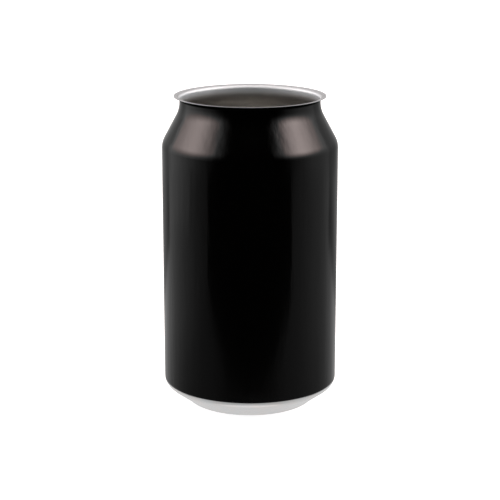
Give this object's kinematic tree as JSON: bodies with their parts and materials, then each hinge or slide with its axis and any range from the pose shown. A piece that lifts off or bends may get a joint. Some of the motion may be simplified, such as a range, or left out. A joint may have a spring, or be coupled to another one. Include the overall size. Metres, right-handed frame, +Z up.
{
  "type": "beverage can",
  "caption": "Empty round beverage can body of thin sheet metal, necked in and flanged at its open top, with a domed base on a narrow stand ring.",
  "frame": {"origin": "on the can's axis, at the level of the stand ring's flat land", "axes": "+Z up along the axis, towards the open top; the can is round, so X and Y are alike"},
  "size_m": [0.0662, 0.0662, 0.1178],
  "materials": {
    "can_sheet": "gloss black coating outside; the heel, the base and the flange are bare bright aluminium, and the inside is lacquered metal"
  },
  "bodies": {
    "root": {"can_body": "can_sheet"}
  },
  "joints": []
}
